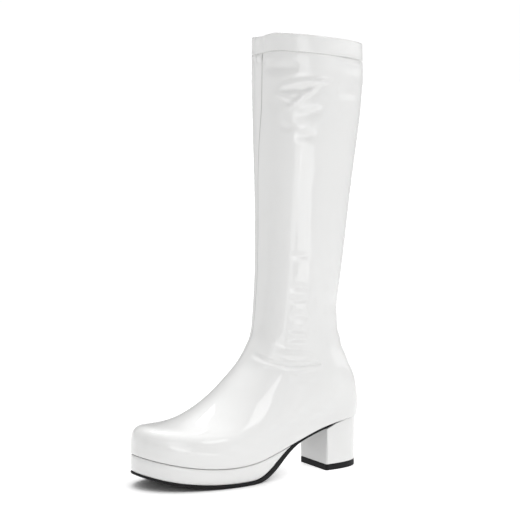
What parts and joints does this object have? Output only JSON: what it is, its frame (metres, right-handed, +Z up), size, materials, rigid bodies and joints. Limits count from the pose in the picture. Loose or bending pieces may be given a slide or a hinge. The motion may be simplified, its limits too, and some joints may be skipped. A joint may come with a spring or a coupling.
{
  "type": "go go boot",
  "caption": "Knee-high go-go boot with a hollow shaft and foot, wrapped platform, thin outsole, block heel and top lift.",
  "frame": {"origin": "on the floor, under the middle of the boot's box", "axes": "+X to the outer side of the foot, -Y to the toe, +Z up along the shaft"},
  "size_m": [0.1094, 0.2528, 0.4424],
  "materials": {
    "white_patent": "high-gloss patent",
    "black_rubber": "satin",
    "lining": "matt brushed textile"
  },
  "bodies": {
    "root": {"upper": "white_patent", "platform": "white_patent", "outsole": "black_rubber", "heel": "white_patent", "top_lift": "black_rubber", "insole": "lining"}
  },
  "joints": []
}
